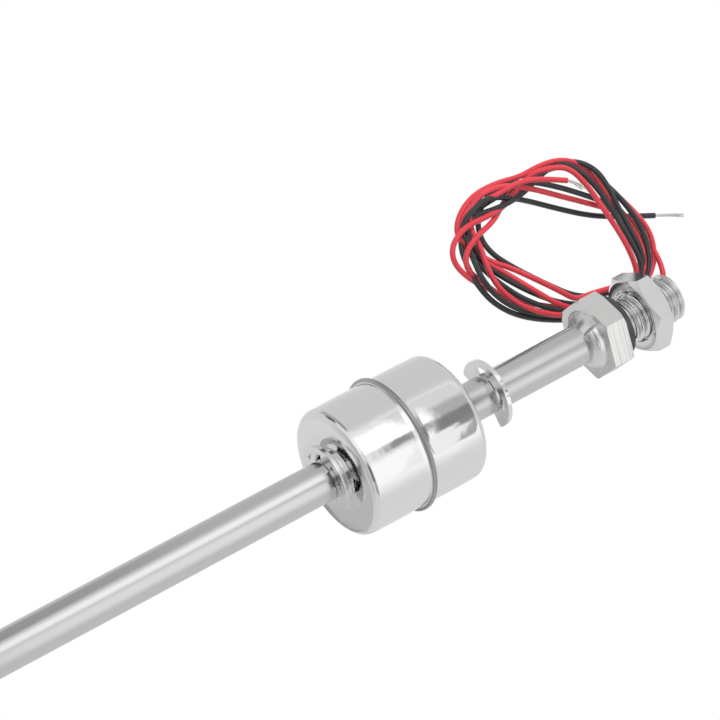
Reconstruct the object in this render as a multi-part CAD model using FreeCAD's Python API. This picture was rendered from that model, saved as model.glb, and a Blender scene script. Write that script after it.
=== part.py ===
"""Float level switch with a threaded head, a sliding hollow float and two loose wires.

The stem stands upright along Z with its thread at the top, as it hangs from a tank lid.
The origin is the centre of the hexagon's upper face, where the sealing washer seats.
All sizes are in millimetres.
"""
import FreeCAD, Part
import math
import os

V = FreeCAD.Vector
UP = V(0, 0, 1)
ORIGIN = V(0, 0, 0)

# Stem tube, measured down from the seat face
STEM_D = 8.0
STEM_WALL = 1.0
STEM_LENGTH = 150.0
STEM_SOCKET_DEPTH = 2.8
END_PLUG_CAP = 1.2
END_PLUG_SPIGOT = 2.5

# Threaded head
HEX_ACROSS_FLATS = 15.0
HEX_HEIGHT = 4.8
HEX_ANGLE = 25.0
HEX_CHAMFER_D = 16.2
THREAD_D = 10.0
THREAD_LENGTH = 16.5
THREAD_TIP_CHAMFER = 0.7
NIPPLE_BORE_D = 6.2
BEVEL_SLOPE = 30.0

# Fillet weld round the stem, under the hexagon
WELD_WIDTH = 2.3
WELD_HEIGHT = 2.6
WELD_BULGE = 0.72  # share of the width and height that the bead's middle reaches

# Rubber washer and lock nut on the thread
WASHER_D = 13.0
WASHER_THICKNESS = 2.1
WASHER_PLAY = 0.05
NUT_ACROSS_FLATS = 15.0
NUT_HEIGHT = 4.4
NUT_ANGLE = 48.0
NUT_CHAMFER_D = 14.4
NUT_COUNTERSINK = 0.6
NUT_PLAY = 0.05
NUT_GAP = 4.45

# Float and the room it has between the two clips
UPPER_CLIP_DEPTH = 30.3
FLOAT_RISE = 8.8
FLOAT_DROP = 0.8
FLOAT_LENGTH = 27.0
FLOAT_D = 26.0
FLOAT_WALL = 0.25
FLOAT_RIM_RADIUS = 1.6
FLOAT_BORE_D = 9.5
INNER_TUBE_WALL = 0.25
LIP_D = 11.0
LIP_HEIGHT = 0.7
SEAM_D = 27.8
SEAM_THICKNESS = 0.8

# Ring magnet and the two sleeves that keep it half way up the float
MAGNET_D = 14.0
MAGNET_HEIGHT = 4.0
MAGNET_BORE_PLAY = 0.3
MAGNET_END_PLAY = 0.15
SPACER_WALL = 0.8
SPACER_PLAY = 0.05

# Stop clips: three-lugged rings pushed into grooves in the stem
CLIP_D = 14.0
CLIP_THICKNESS = 0.9
CLIP_GROOVE_D = 7.0
CLIP_LUG_PLAY = 0.02
CLIP_SIDE_PLAY = 0.05
CLIP_BAND = 1.25
CLIP_HALF_SPAN = 115.0
CLIP_BACK_LUG = 17.0
CLIP_ARM_LUG = 70.0
CLIP_TIP_ROUNDING = 1.2
UPPER_CLIP_ANGLE = -107.0
LOWER_CLIP_ANGLE = -127.0

# Reed switch inside the stem
REED_GLASS_D = 2.2
REED_GLASS_WALL = 0.35
REED_GLASS_LENGTH = 14.0
REED_GLASS_END = 1.5
REED_LEAD_D = 0.5
REED_LEAD_LENGTH = 3.0
REED_BLADE_WIDTH = 0.9
REED_BLADE_THICKNESS = 0.2
REED_BLADE_GAP = 0.15
REED_BLADE_OVERLAP = 0.8
SOLDER_D = 1.1
SOLDER_LENGTH = 2.0
SLEEVE_D = 5.7
SLEEVE_WALL = 0.35
SLEEVE_MARGIN = 1.0

# Potting in the nipple, and the wires through it
POTTING_TOP = 11.5
POTTING_PLAY = 0.01
WIRE_D = 1.15
WIRE_OFFSET = 1.15
STRANDS_D = 0.7
RED_STRANDS_LENGTH = 4.0
BLACK_STRANDS_LENGTH = 6.8
BEND_SHARE = 0.45  # share of the shorter run that each bend takes up

# Coil of wire behind the head: a closed loop in a plane of constant Y
COIL_Y = 12.6
COIL_SECTION_D = 6.0
COIL_LOOP_XZ = [
    (-6.0, 20.0),
    (-12.5, 23.0),
    (-20.5, 23.0),
    (-28.0, 20.0),
    (-32.5, 13.5),
    (-33.8, 5.0),
    (-33.0, -4.0),
    (-29.5, -10.5),
    (-23.0, -13.0),
    (-16.5, -11.5),
    (-11.5, -6.5),
    (-8.0, 1.0),
    (-5.5, 8.0),
    (-4.2, 14.5),
]

# Wire routes outside the coil; the first point of each lead follows the potting
RED_LEAD_ROUTE = [
    (-1.15, 0.0, 17.8),
    (-2.8, 3.0, 21.3),
    (-4.4, 7.5, 22.1),
    (-5.0, 11.3, 19.1),
    (-4.8, 12.6, 14.5),
]
BLACK_LEAD_ROUTE = [
    (1.15, 0.0, 17.8),
    (-0.7, 3.3, 21.8),
    (-2.6, 7.8, 22.7),
    (-3.3, 11.6, 19.5),
    (-3.4, 12.9, 14.8),
]
RED_END_ROUTE = [
    (-33.4, 11.6, -1.0),
    (-34.0, 9.8, 3.6),
    (-32.8, 8.9, 8.5),
    (-29.8, 9.0, 12.9),
]
BLACK_END_ROUTE = [
    (-33.5, 12.8, -4.5),
    (-32.9, 14.2, 1.2),
    (-29.5, 15.9, 7.2),
    (-25.3, 17.2, 13.1),
    (-21.6, 17.8, 18.9),
    (-18.6, 17.6, 25.1),
    (-15.9, 16.9, 32.3),
]

# Places that follow from the sizes above
STEM_R = STEM_D / 2
STEM_BORE_R = STEM_R - STEM_WALL
HEX_BOTTOM = -HEX_HEIGHT
STEM_TOP = HEX_BOTTOM + STEM_SOCKET_DEPTH
STEM_BOTTOM = -STEM_LENGTH
NUT_BOTTOM = WASHER_THICKNESS + NUT_GAP
FLOAT_TOP = -(UPPER_CLIP_DEPTH + FLOAT_RISE + LIP_HEIGHT)
FLOAT_BOTTOM = FLOAT_TOP - FLOAT_LENGTH
FLOAT_MIDDLE = (FLOAT_TOP + FLOAT_BOTTOM) / 2
INNER_TUBE_R = FLOAT_BORE_D / 2 + INNER_TUBE_WALL
UPPER_CLIP_BOTTOM = -UPPER_CLIP_DEPTH
LOWER_CLIP_BOTTOM = FLOAT_BOTTOM - LIP_HEIGHT - FLOAT_DROP - CLIP_THICKNESS
REED_MIDDLE = FLOAT_MIDDLE + FLOAT_RISE
REED_TOP = REED_MIDDLE + REED_GLASS_LENGTH / 2
REED_BOTTOM = REED_MIDDLE - REED_GLASS_LENGTH / 2
RED_SOLDER_BOTTOM = REED_TOP + REED_LEAD_LENGTH
BLACK_SOLDER_BOTTOM = REED_BOTTOM - REED_LEAD_LENGTH / 2
REED_AXIS = V(-WIRE_OFFSET, 0, 0)
RETURN_AXIS = V(WIRE_OFFSET, 0, 0)


def cylinder(radius, low, high, axis_at=ORIGIN):
    """Upright cylinder between two heights."""
    return Part.makeCylinder(radius, high - low, axis_at + V(0, 0, low), UP)


def tube(outer_r, inner_r, low, high):
    """Upright tube between two heights."""
    return cylinder(outer_r, low, high).cut(cylinder(inner_r, low, high))


def turned(profile):
    """Solid turned about Z from (radius, height) points, closed back to the first."""
    points = [V(r, 0, z) for r, z in profile]
    face = Part.Face(Part.makePolygon(points + points[:1]))
    return face.revolve(ORIGIN, UP, 360)


def polar(radius, degrees, height=0.0):
    """Point at a radius and an angle about Z."""
    angle = math.radians(degrees)
    return V(radius * math.cos(angle), radius * math.sin(angle), height)


def sector(outer_r, inner_r, start, end, low, high):
    """Part of a flat ring between two angles in degrees."""
    middle = (start + end) / 2
    outer = Part.Arc(polar(outer_r, start), polar(outer_r, middle), polar(outer_r, end))
    inner = Part.Arc(polar(inner_r, end), polar(inner_r, middle), polar(inner_r, start))
    closing = Part.LineSegment(polar(outer_r, end), polar(inner_r, end))
    opening = Part.LineSegment(polar(inner_r, start), polar(outer_r, start))
    edges = [piece.toShape() for piece in (outer, closing, inner, opening)]
    face = Part.Face(Part.Wire(edges))
    face.translate(V(0, 0, low))
    return face.extrude(V(0, 0, high - low))


def hexagon(across_flats, low, high, angle, lower_bevel_d, upper_bevel_d):
    """Hexagonal prism whose corners are bevelled towards both faces."""
    corner_r = across_flats / math.sqrt(3)
    corners = [polar(corner_r, angle + 60 * k, low) for k in range(7)]
    prism = Part.Face(Part.makePolygon(corners)).extrude(V(0, 0, high - low))
    slope = math.tan(math.radians(BEVEL_SLOPE))
    lower_drop = max(corner_r - lower_bevel_d / 2, 0) * slope
    upper_drop = max(corner_r - upper_bevel_d / 2, 0) * slope
    envelope = turned([
        (0, low),
        (min(lower_bevel_d / 2, corner_r), low),
        (corner_r, low + lower_drop),
        (corner_r, high - upper_drop),
        (min(upper_bevel_d / 2, corner_r), high),
        (0, high),
    ])
    return prism.common(envelope)


def tangent_path(points, closed=False):
    """Wire of straight runs joined by tangent arcs, and the radii of its arcs."""
    count = len(points)
    bends = range(count) if closed else range(1, count - 1)
    starts, ends, arcs, radii = {}, {}, {}, []
    for k in bends:
        before = points[k - 1] - points[k]
        after = points[(k + 1) % count] - points[k]
        trim = BEND_SHARE * min(before.Length, after.Length)
        half_turn = (math.pi - before.getAngle(after)) / 2
        radius = trim / math.tan(half_turn)
        into = before.normalize()
        out_of = after.normalize()
        inward = (into + out_of).normalize()
        centre = points[k] + inward * (radius / math.cos(half_turn))
        starts[k] = points[k] + into * trim
        ends[k] = points[k] + out_of * trim
        arcs[k] = Part.Arc(starts[k], centre - inward * radius, ends[k]).toShape()
        radii.append(radius)
    edges = []
    runs = count if closed else count - 1
    for k in range(runs):
        following = (k + 1) % count
        run_start = ends.get(k, points[k])
        run_end = starts.get(following, points[following])
        edges.append(Part.LineSegment(run_start, run_end).toShape())
        if following in arcs:
            edges.append(arcs[following])
    return Part.Wire(edges), radii


def swept_tube(name, points, diameter, closed=False):
    """Round tube along a path of runs and arcs, with its bends and volume printed."""
    path, radii = tangent_path(points, closed)
    first = path.Edges[0]
    start = first.valueAt(first.FirstParameter)
    along = first.tangentAt(first.FirstParameter)
    ring = Part.Wire(Part.makeCircle(diameter / 2, start, along))
    solid = path.makePipeShell([ring], True, False)
    if solid.Volume < 0:
        solid.reverse()
    section = math.pi * (diameter / 2) ** 2
    share = solid.Volume / (section * path.Length)
    print(f"{name}: length {path.Length:.1f} mm, volume over section times length {share:.4f}")
    print(f"{name}: radii {' '.join(f'{r:.1f}' for r in radii)} mm")
    return solid


def stem_tube():
    body = tube(STEM_R, STEM_BORE_R, STEM_BOTTOM + END_PLUG_CAP, STEM_TOP)
    for clip_bottom in (UPPER_CLIP_BOTTOM, LOWER_CLIP_BOTTOM):
        low = clip_bottom - CLIP_SIDE_PLAY
        high = clip_bottom + CLIP_THICKNESS + CLIP_SIDE_PLAY
        body = body.cut(tube(STEM_D, CLIP_GROOVE_D / 2, low, high))
    return body


def stem_end_plug():
    """Plug welded into the lower end, flush with the tube's outside."""
    edge = END_PLUG_CAP / 3
    cap_top = STEM_BOTTOM + END_PLUG_CAP
    return turned([
        (0, STEM_BOTTOM),
        (STEM_R - edge, STEM_BOTTOM),
        (STEM_R, STEM_BOTTOM + edge),
        (STEM_R, cap_top),
        (STEM_BORE_R, cap_top),
        (STEM_BORE_R, cap_top + END_PLUG_SPIGOT),
        (0, cap_top + END_PLUG_SPIGOT),
    ])


def threaded_head():
    """Hexagon and threaded nipple, turned from one bar; the thread is its outer diameter."""
    hex_part = hexagon(
        HEX_ACROSS_FLATS, HEX_BOTTOM, 0, HEX_ANGLE, HEX_CHAMFER_D, HEX_CHAMFER_D
    )
    thread_r = THREAD_D / 2
    nipple = turned([
        (0, 0),
        (thread_r, 0),
        (thread_r, THREAD_LENGTH - THREAD_TIP_CHAMFER),
        (thread_r - THREAD_TIP_CHAMFER, THREAD_LENGTH),
        (0, THREAD_LENGTH),
    ])
    bore = cylinder(NIPPLE_BORE_D / 2, HEX_BOTTOM, THREAD_LENGTH)
    socket = cylinder(STEM_R, HEX_BOTTOM, STEM_TOP)
    return hex_part.fuse(nipple).removeSplitter().cut(bore).cut(socket)


def weld_bead():
    """Convex ring of weld in the corner between the stem and the hexagon's lower face."""
    inner = V(STEM_R, 0, HEX_BOTTOM)
    on_stem = V(STEM_R, 0, HEX_BOTTOM - WELD_HEIGHT)
    on_hex = V(STEM_R + WELD_WIDTH, 0, HEX_BOTTOM)
    bulge = V(STEM_R + WELD_BULGE * WELD_WIDTH, 0, HEX_BOTTOM - WELD_BULGE * WELD_HEIGHT)
    edges = [
        Part.makeLine(inner, on_stem),
        Part.Arc(on_stem, bulge, on_hex).toShape(),
        Part.makeLine(on_hex, inner),
    ]
    return Part.Face(Part.Wire(edges)).revolve(ORIGIN, UP, 360)


def sealing_washer():
    bore_r = THREAD_D / 2 + WASHER_PLAY
    return tube(WASHER_D / 2, bore_r, 0, WASHER_THICKNESS)


def lock_nut():
    bore_r = THREAD_D / 2 + NUT_PLAY
    top = NUT_BOTTOM + NUT_HEIGHT
    body = hexagon(
        NUT_ACROSS_FLATS, NUT_BOTTOM, top, NUT_ANGLE, NUT_CHAMFER_D, NUT_CHAMFER_D
    )
    hole = turned([
        (0, NUT_BOTTOM),
        (bore_r + NUT_COUNTERSINK, NUT_BOTTOM),
        (bore_r, NUT_BOTTOM + NUT_COUNTERSINK),
        (bore_r, top - NUT_COUNTERSINK),
        (bore_r + NUT_COUNTERSINK, top),
        (0, top),
    ])
    return body.cut(hole)


def stop_clip(bottom, angle):
    """Three-lugged snap ring, its back lug at the given angle and its mouth opposite."""
    top = bottom + CLIP_THICKNESS
    outer_r = CLIP_D / 2
    lug_r = CLIP_GROOVE_D / 2 + CLIP_LUG_PLAY
    relief_r = outer_r - CLIP_BAND
    ring = sector(outer_r, lug_r, angle - CLIP_HALF_SPAN, angle + CLIP_HALF_SPAN, bottom, top)
    for side in (-1, 1):
        near = angle + side * CLIP_BACK_LUG
        far = angle + side * CLIP_ARM_LUG
        relief = sector(relief_r, lug_r / 2, min(near, far), max(near, far), bottom, top)
        ring = ring.cut(relief)
    tips = []
    for edge in ring.Edges:
        ends = [vertex.Point for vertex in edge.Vertexes]
        upright = len(ends) == 2 and abs(ends[0].z - ends[1].z) > CLIP_THICKNESS / 2
        if not upright:
            continue
        radius = math.hypot(ends[0].x, ends[0].y)
        for side in (-1, 1):
            tip = polar(radius, angle + side * CLIP_HALF_SPAN, ends[0].z)
            if radius > relief_r and (tip - ends[0]).Length < CLIP_THICKNESS / 10:
                tips.append(edge)
    return ring.makeFillet(CLIP_TIP_ROUNDING, tips)


def float_half(upper):
    """Drawn cup with a rounded rim, a hole for the inner tube and a narrow welded flange."""
    end = FLOAT_TOP if upper else FLOAT_BOTTOM
    inward = -1 if upper else 1
    shell_r = FLOAT_D / 2
    corner = FLOAT_RIM_RADIUS
    inner_corner = max(corner - FLOAT_WALL, FLOAT_WALL / 4)
    skin = end + inward * FLOAT_WALL
    flange = FLOAT_MIDDLE - inward * SEAM_THICKNESS / 2

    def point(radius, height):
        return V(radius, 0, height)

    def rounded(radius, height, size, flat, wall):
        """Quarter round between the flat end and the side wall."""
        centre = point(radius - size, height + inward * size)
        outward = V(math.sqrt(0.5), 0, -inward * math.sqrt(0.5))
        return Part.Arc(flat, centre + outward * size, wall).toShape()

    hole_r = INNER_TUBE_R
    wall_r = shell_r - FLOAT_WALL
    outer_flat = point(shell_r - corner, end)
    outer_wall = point(shell_r, end + inward * corner)
    inner_flat = point(wall_r - inner_corner, skin)
    inner_wall = point(wall_r, skin + inward * inner_corner)
    edges = [
        Part.makeLine(point(hole_r, end), outer_flat),
        rounded(shell_r, end, corner, outer_flat, outer_wall),
        Part.makeLine(outer_wall, point(shell_r, flange)),
        Part.makeLine(point(shell_r, flange), point(SEAM_D / 2, flange)),
        Part.makeLine(point(SEAM_D / 2, flange), point(SEAM_D / 2, FLOAT_MIDDLE)),
        Part.makeLine(point(SEAM_D / 2, FLOAT_MIDDLE), point(wall_r, FLOAT_MIDDLE)),
        Part.makeLine(point(wall_r, FLOAT_MIDDLE), inner_wall),
        rounded(wall_r, skin, inner_corner, inner_flat, inner_wall),
        Part.makeLine(inner_flat, point(hole_r, skin)),
        Part.makeLine(point(hole_r, skin), point(hole_r, end)),
    ]
    return Part.Face(Part.Wire(edges)).revolve(ORIGIN, UP, 360)


def float_inner_tube():
    """Tube through the float with a round-edged lip at each end, welded to both shells."""
    bore_r = FLOAT_BORE_D / 2
    lip_r = LIP_D / 2
    flat_r = lip_r - LIP_HEIGHT / 2
    low = FLOAT_BOTTOM - LIP_HEIGHT
    high = FLOAT_TOP + LIP_HEIGHT

    def line(from_r, from_z, to_r, to_z):
        return Part.makeLine(V(from_r, 0, from_z), V(to_r, 0, to_z))

    def round_edge(start, end):
        middle = V(lip_r, 0, (start + end) / 2)
        return Part.Arc(V(flat_r, 0, start), middle, V(flat_r, 0, end)).toShape()

    edges = [
        line(INNER_TUBE_R, FLOAT_BOTTOM, INNER_TUBE_R, FLOAT_TOP),
        line(INNER_TUBE_R, FLOAT_TOP, flat_r, FLOAT_TOP),
        round_edge(FLOAT_TOP, high),
        line(flat_r, high, bore_r, high),
        line(bore_r, high, bore_r, low),
        line(bore_r, low, flat_r, low),
        round_edge(low, FLOAT_BOTTOM),
        line(flat_r, FLOAT_BOTTOM, INNER_TUBE_R, FLOAT_BOTTOM),
    ]
    return Part.Face(Part.Wire(edges)).revolve(ORIGIN, UP, 360)


def magnet_ring():
    half = MAGNET_HEIGHT / 2
    bore_r = INNER_TUBE_R + MAGNET_BORE_PLAY
    return tube(MAGNET_D / 2, bore_r, FLOAT_MIDDLE - half, FLOAT_MIDDLE + half)


def magnet_spacer(upper):
    """Sleeve on the inner tube between one end of the float and the magnet."""
    inner_r = INNER_TUBE_R + SPACER_PLAY
    outer_r = inner_r + SPACER_WALL
    reach = MAGNET_HEIGHT / 2 + MAGNET_END_PLAY
    if upper:
        return tube(outer_r, inner_r, FLOAT_MIDDLE + reach, FLOAT_TOP - FLOAT_WALL)
    return tube(outer_r, inner_r, FLOAT_BOTTOM + FLOAT_WALL, FLOAT_MIDDLE - reach)


def reed_glass():
    body = cylinder(REED_GLASS_D / 2, REED_BOTTOM, REED_TOP, REED_AXIS)
    hollow_r = REED_GLASS_D / 2 - REED_GLASS_WALL
    hollow = cylinder(
        hollow_r, REED_BOTTOM + REED_GLASS_END, REED_TOP - REED_GLASS_END, REED_AXIS
    )
    leads = cylinder(REED_LEAD_D / 2, REED_BOTTOM, REED_TOP, REED_AXIS)
    return body.cut(hollow).cut(leads)


def reed_blade(upper):
    """Flat springy end of a lead, from its glass seal to past the middle."""
    offset = (REED_BLADE_GAP + REED_BLADE_THICKNESS) / 2
    reach = REED_GLASS_LENGTH / 2 - REED_GLASS_END + REED_BLADE_OVERLAP / 2
    low = REED_MIDDLE - REED_BLADE_OVERLAP / 2
    if not upper:
        low = REED_MIDDLE + REED_BLADE_OVERLAP / 2 - reach
        offset = -offset
    corner = REED_AXIS + V(-REED_BLADE_WIDTH / 2, offset - REED_BLADE_THICKNESS / 2, low)
    return Part.makeBox(REED_BLADE_WIDTH, REED_BLADE_THICKNESS, reach, corner)


def reed_upper_lead():
    lead = cylinder(
        REED_LEAD_D / 2, REED_TOP - REED_GLASS_END, REED_TOP + REED_LEAD_LENGTH, REED_AXIS
    )
    return lead.fuse(reed_blade(True)).removeSplitter()


def reed_lower_lead():
    """Lead that folds back up beside the glass to meet the return wire."""
    radius = REED_LEAD_D / 2
    turn = REED_BOTTOM - REED_LEAD_LENGTH
    straight = cylinder(radius, turn, REED_BOTTOM + REED_GLASS_END, REED_AXIS)
    bend = Part.makeTorus(WIRE_OFFSET, radius, V(0, 0, turn), V(0, 1, 0))
    keep = Part.makeBox(
        4 * WIRE_OFFSET,
        4 * radius,
        2 * WIRE_OFFSET,
        V(-2 * WIRE_OFFSET, -2 * radius, turn - 2 * WIRE_OFFSET),
    )
    rise = cylinder(radius, turn, turn + REED_LEAD_LENGTH / 2, RETURN_AXIS)
    lead = straight.fuse([bend.common(keep), rise, reed_blade(False)])
    return lead.removeSplitter()


def solder_joint(bottom, axis_at):
    return cylinder(SOLDER_D / 2, bottom, bottom + SOLDER_LENGTH, axis_at)


def inner_wire(solder_bottom, axis_at):
    """Insulated wire from its solder joint up to the top of the potting."""
    return cylinder(WIRE_D / 2, solder_bottom + SOLDER_LENGTH, POTTING_TOP, axis_at)


def reed_sleeve():
    bottom = REED_BOTTOM - REED_LEAD_LENGTH - WIRE_OFFSET - SLEEVE_MARGIN
    top = RED_SOLDER_BOTTOM + SOLDER_LENGTH + SLEEVE_MARGIN
    return tube(SLEEVE_D / 2, SLEEVE_D / 2 - SLEEVE_WALL, bottom, top)


def potting_plug():
    """Hardened resin on top of the stem, with the two wires cast into it."""
    body = cylinder(NIPPLE_BORE_D / 2 - POTTING_PLAY, STEM_TOP, POTTING_TOP)
    for axis_at in (REED_AXIS, RETURN_AXIS):
        body = body.cut(cylinder(WIRE_D / 2 + POTTING_PLAY, STEM_TOP, POTTING_TOP, axis_at))
    return body


def wire_lead(name, exit_x, route):
    """Wire from the potting, over the nipple's rim and into the coil."""
    points = [V(exit_x, 0, POTTING_TOP)] + [V(*point) for point in route]
    return swept_tube(name, points, WIRE_D)


def wire_end(name, route):
    """Free end of a wire, from the coil to where its insulation stops."""
    return swept_tube(name, [V(*point) for point in route], WIRE_D)


def stripped_end(route, length):
    """Bare strands that carry on straight from the end of the insulation."""
    tip = V(*route[-1])
    along = (tip - V(*route[-2])).normalize()
    return Part.makeCylinder(STRANDS_D / 2, length, tip, along)


def wire_coil():
    """Outer shape of the loose coil that both wires lie in."""
    loop = [V(x, COIL_Y, z) for x, z in COIL_LOOP_XZ]
    return swept_tube("wire_coil", loop, COIL_SECTION_D, closed=True)


NODES = {
    "stem_tube": stem_tube,
    "stem_end_plug": stem_end_plug,
    "threaded_head": threaded_head,
    "weld_bead": weld_bead,
    "sealing_washer": sealing_washer,
    "lock_nut": lock_nut,
    "upper_stop_clip": lambda: stop_clip(UPPER_CLIP_BOTTOM, UPPER_CLIP_ANGLE),
    "lower_stop_clip": lambda: stop_clip(LOWER_CLIP_BOTTOM, LOWER_CLIP_ANGLE),
    "float_upper_shell": lambda: float_half(True),
    "float_lower_shell": lambda: float_half(False),
    "float_inner_tube": float_inner_tube,
    "magnet_ring": magnet_ring,
    "magnet_upper_spacer": lambda: magnet_spacer(True),
    "magnet_lower_spacer": lambda: magnet_spacer(False),
    "reed_glass": reed_glass,
    "reed_upper_lead": reed_upper_lead,
    "reed_lower_lead": reed_lower_lead,
    "reed_sleeve": reed_sleeve,
    "red_solder_joint": lambda: solder_joint(RED_SOLDER_BOTTOM, REED_AXIS),
    "black_solder_joint": lambda: solder_joint(BLACK_SOLDER_BOTTOM, RETURN_AXIS),
    "red_inner_wire": lambda: inner_wire(RED_SOLDER_BOTTOM, REED_AXIS),
    "black_inner_wire": lambda: inner_wire(BLACK_SOLDER_BOTTOM, RETURN_AXIS),
    "potting_plug": potting_plug,
    "red_wire_lead": lambda: wire_lead("red_wire_lead", REED_AXIS.x, RED_LEAD_ROUTE),
    "black_wire_lead": lambda: wire_lead("black_wire_lead", RETURN_AXIS.x, BLACK_LEAD_ROUTE),
    "wire_coil": wire_coil,
    "red_wire_end": lambda: wire_end("red_wire_end", RED_END_ROUTE),
    "black_wire_end": lambda: wire_end("black_wire_end", BLACK_END_ROUTE),
    "red_strands": lambda: stripped_end(RED_END_ROUTE, RED_STRANDS_LENGTH),
    "black_strands": lambda: stripped_end(BLACK_END_ROUTE, BLACK_STRANDS_LENGTH),
}

os.makedirs("parts", exist_ok=True)
for node, make in NODES.items():
    shape = make()
    solids = shape.Solids
    assert len(solids) == 1 and shape.isValid(), node
    solids[0].exportStep(f"parts/{node}.step")
    print(f"{node}: {solids[0].Volume:.2f} mm3")
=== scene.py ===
# %% [markdown]
# # Float level switch
#
# The switch hangs from a tank lid by its threaded head. A polished hollow float slides
# on the stem between two stop clips, and two loose wires lie in a coil behind the head.
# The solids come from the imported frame. This script gives them their finish, and remakes
# the pieces whose real shape is finer than the solids: the thread, the weld, the wires.

# %% Frame
import math

import bmesh
import bpy
from mathutils import Matrix, Vector


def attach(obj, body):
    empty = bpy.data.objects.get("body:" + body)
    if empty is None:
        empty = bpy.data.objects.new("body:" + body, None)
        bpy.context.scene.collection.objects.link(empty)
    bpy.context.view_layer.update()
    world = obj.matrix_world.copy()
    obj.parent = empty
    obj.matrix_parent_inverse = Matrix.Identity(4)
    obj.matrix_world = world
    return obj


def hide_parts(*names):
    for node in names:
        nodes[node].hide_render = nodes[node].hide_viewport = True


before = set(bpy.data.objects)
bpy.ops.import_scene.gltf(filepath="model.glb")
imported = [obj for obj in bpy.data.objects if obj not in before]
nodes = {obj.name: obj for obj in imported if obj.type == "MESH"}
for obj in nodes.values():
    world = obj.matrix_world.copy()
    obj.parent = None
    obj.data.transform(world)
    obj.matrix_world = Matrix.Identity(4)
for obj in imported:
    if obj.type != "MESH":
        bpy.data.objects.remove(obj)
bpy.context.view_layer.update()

# %% [markdown]
# Sizes are written in millimetres, as in the solids' source, and turned into metres where
# they are used. Heights run up from the seat of the sealing washer, at zero.

# %% Sizes
MM = 0.001

STEM_R = 4.0
STEM_BOTTOM = -150.0
HEX_BOTTOM = -4.8
WIRE_D = 1.15

# %% [markdown]
# ## Camera
#
# In the picture the switch hangs free in front of plain white, seen from below. The
# place and the turn of the camera were fitted to the outlines of the stem, float and
# head, with the stem taken as 8 mm across.

# %% Camera
CAMERA_PLACE = (-17.05, -650.32, -372.76)
CAMERA_TILT = 116.33
CAMERA_ROLL = 62.56
LENS = 190.8
SENSOR = 36.0

camera_data = bpy.data.cameras.new("camera")
camera_data.lens = LENS
camera_data.sensor_width = SENSOR
camera = bpy.data.objects.new("camera", camera_data)
camera.matrix_world = (
    Matrix.Translation(Vector(CAMERA_PLACE) * MM)
    @ Matrix.Rotation(math.radians(CAMERA_TILT), 4, "X")
    @ Matrix.Rotation(math.radians(CAMERA_ROLL), 4, "Z")
)
bpy.context.scene.collection.objects.link(camera)
bpy.context.scene.camera = camera
print("camera at", tuple(round(c, 3) for c in camera.location))

# %% [markdown]
# ## Wires
#
# Two stranded wires with PVC insulation leave the head, go over the rim of the nipple and
# lie in four and a half loose turns each. Each one is a single smooth curve with a round
# section. What the picture shows of a turn is best traced in the picture, so the turns
# are written as picture places, each with the depth behind the stem at which it lies, and
# a small function finds the real point on that line of sight.

# %% Picture places
PICTURE = 720


def seen_at(across, down, depth):
    """Real point at a place of the picture, on the upright plane Y = depth, all in mm."""
    turn = camera.matrix_world.to_3x3()
    spread = SENSOR / LENS / PICTURE
    ray = turn @ Vector(((across - PICTURE / 2) * spread, (PICTURE / 2 - down) * spread, -1.0))
    start = Vector(CAMERA_PLACE)
    return start + ray * ((depth - start.y) / ray.y)


print("centre of the picture on the stem's plane", tuple(round(c, 1) for c in seen_at(360, 360, 0)))

# %% [markdown]
# The red wire leaves the head on the left, and its end shows at the top of the coil. Every
# turn runs clockwise in the picture: behind the head, along the bottom, up the left side,
# over the top and down the right side. No two turns have the same size.

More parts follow.
